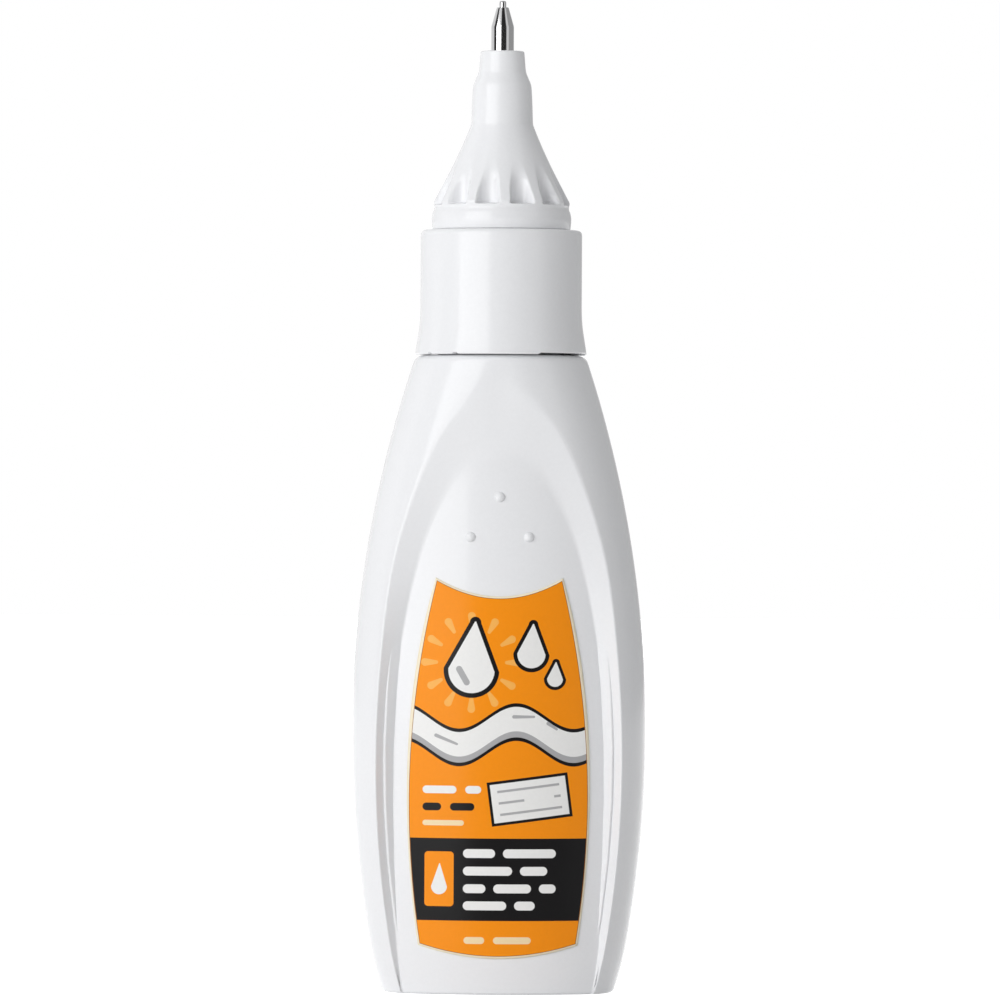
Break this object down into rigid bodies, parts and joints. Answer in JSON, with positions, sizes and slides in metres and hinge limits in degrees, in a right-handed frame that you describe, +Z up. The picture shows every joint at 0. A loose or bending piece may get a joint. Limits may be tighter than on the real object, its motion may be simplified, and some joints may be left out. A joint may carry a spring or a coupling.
{
  "type": "correction fluid bottle",
  "caption": "White squeeze bottle of correction fluid with a fluted nose, a sprung metal point and a foam wedge on a stem under its screw collar.",
  "frame": {"origin": "middle of the base, on the surface it stands on", "axes": "+Z up along the bottle, front label towards -Y, +X to the right of the front"},
  "size_m": [0.0312, 0.0182, 0.105],
  "materials": {
    "bottle_plastic": "gloss",
    "closure_plastic": "gloss",
    "wiper_plastic": "matte",
    "label_film": "gloss",
    "seal_foam": "matte",
    "steel": "satin",
    "foam": "matte"
  },
  "bodies": {
    "bottle": {"bottle": "bottle_plastic", "front_label": "label_film", "back_label": "label_film", "neck_wiper": "wiper_plastic", "mixing_ball": "steel"},
    "applicator": {"nose_cone": "closure_plastic", "seal_ring": "seal_foam", "tip_sleeve": "steel", "tip_spring": "steel", "applicator_stem": "closure_plastic", "foam_wedge": "foam"},
    "collar": {"screw_collar": "closure_plastic"},
    "pin": {"tip_pin": "steel"}
  },
  "joints": [
    {"name": "applicator_rise", "type": "slide", "parent": "bottle", "child": "applicator", "axis": [0, 0, 1], "range_m": [0, 0.0614]},
    {"name": "collar_turn", "type": "hinge", "parent": "applicator", "child": "collar", "pos_m": [0, 0, 0.074], "axis": [0, 0, 1], "range_deg": [0, 10442]},
    {"name": "pin_press", "type": "slide", "parent": "applicator", "child": "pin", "axis": [0, 0, -1], "range_m": [0, 0.0005], "stiffness_N_per_m": 400, "springref_m": -0.001, "deforming": ["tip_spring"]}
  ],
  "couplings": [
    {"joint": "collar_turn", "follows": "applicator_rise", "rad_per_m": 2968}
  ]
}
